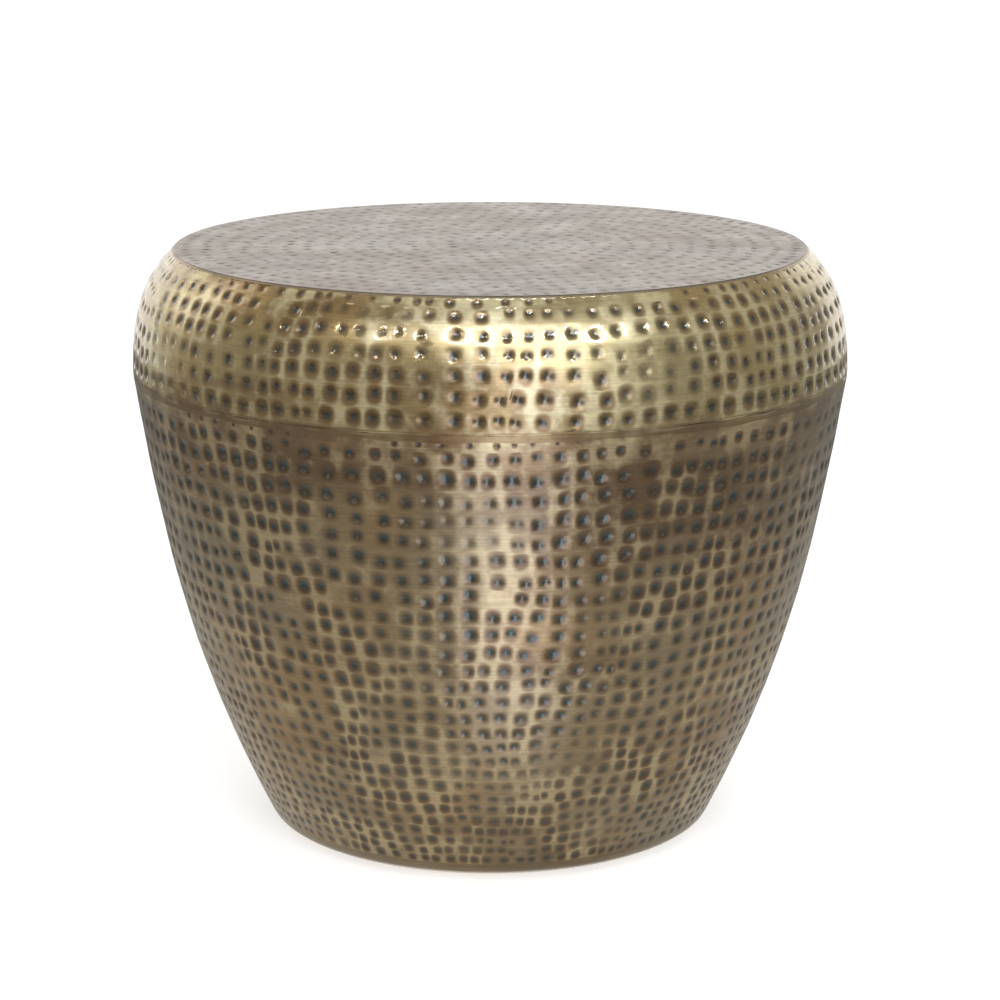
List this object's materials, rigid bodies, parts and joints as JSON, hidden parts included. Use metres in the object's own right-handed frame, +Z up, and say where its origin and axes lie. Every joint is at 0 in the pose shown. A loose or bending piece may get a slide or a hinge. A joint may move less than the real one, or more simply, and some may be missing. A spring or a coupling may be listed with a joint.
{
  "type": "drum side table",
  "caption": "Hollow hammered-metal drum side table with a flat round top, a rounded shoulder over a seam, and a tapered body that is open below and stands on rubber feet.",
  "frame": {"origin": "on the floor, in the middle of the drum", "axes": "+Z up along the drum's axis; X and Y run along the two bars under the top, and the feet lie between them"},
  "size_m": [0.543, 0.543, 0.45],
  "materials": {
    "top_sheet": "hammered, pale brushed brass with a warm grey patina",
    "shell_sheet": "hammered, aged brass with a brown patina",
    "braze": "dressed smooth",
    "bar_steel": "mill finish flat bar",
    "foot_rubber": "matt moulded rubber",
    "zinc_fastener": "zinc plated"
  },
  "bodies": {
    "root": {"top_disc": "top_sheet", "shoulder_shell": "shell_sheet", "lower_shell": "shell_sheet", "seam_braze": "braze", "top_brace_upper": "bar_steel", "top_brace_lower": "bar_steel", "foot_1": "foot_rubber", "foot_2": "foot_rubber", "foot_3": "foot_rubber", "foot_4": "foot_rubber", "foot_screws": "zinc_fastener", "foot_washers": "zinc_fastener", "foot_nuts": "zinc_fastener"}
  },
  "joints": []
}
